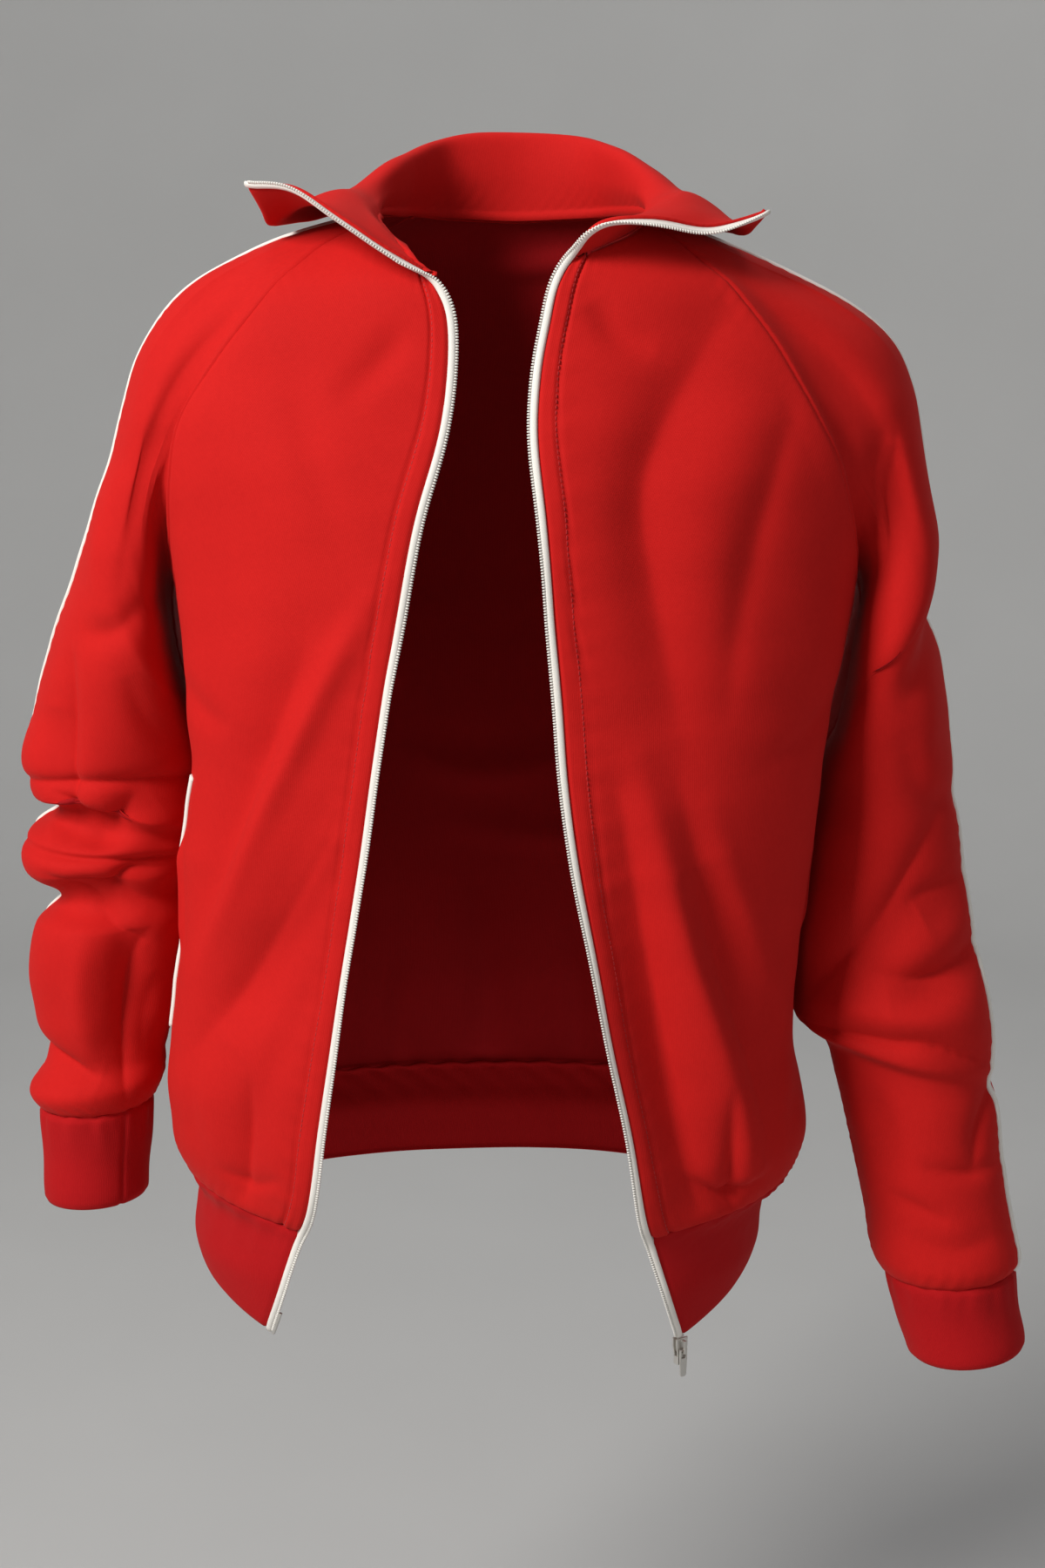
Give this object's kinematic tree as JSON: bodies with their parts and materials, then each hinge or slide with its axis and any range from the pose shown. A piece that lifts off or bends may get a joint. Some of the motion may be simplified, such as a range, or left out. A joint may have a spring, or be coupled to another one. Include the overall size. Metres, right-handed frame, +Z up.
{
  "type": "track jacket",
  "caption": "Zip-front knit track jacket worn open, with raglan sleeves, a turned-out stand collar, banded cuffs and hem, and pale piping.",
  "frame": {"origin": "the middle of the neck base, on the vertical line through the neck opening, where the jacket hangs on the wearer's neck and shoulders", "axes": "+Z up along the body, -Y out of the jacket's front, +X towards the wearer's left"},
  "size_m": [0.6635, 0.2891, 0.7926],
  "materials": {
    "red_knit": "matte knit",
    "band_knit": "matte doubled knit",
    "white_trim": "satin woven",
    "zip_metal": "satin"
  },
  "bodies": {
    "root": {"front_right": "red_knit", "front_left": "red_knit", "back": "red_knit", "sleeve_right_front": "red_knit", "sleeve_right_back": "red_knit", "sleeve_left_front": "red_knit", "sleeve_left_back": "red_knit", "collar": "red_knit", "waistband": "band_knit", "cuff_right": "band_knit", "cuff_left": "band_knit", "piping_right": "white_trim", "piping_left": "white_trim", "pocket_welt_right": "white_trim", "pocket_welt_left": "white_trim", "zip_tape_right": "white_trim", "zip_tape_left": "white_trim", "zip_pin": "zip_metal", "zip_slider": "zip_metal", "zip_box": "zip_metal"},
    "pull": {"zip_pull": "zip_metal"}
  },
  "joints": [
    {"name": "pull_swing", "type": "hinge", "parent": "root", "child": "pull", "pos_m": [0.10762, -0.11571, -0.6761], "axis": [-0.7912, -0.6115, 0], "range_deg": [0, 110]}
  ]
}
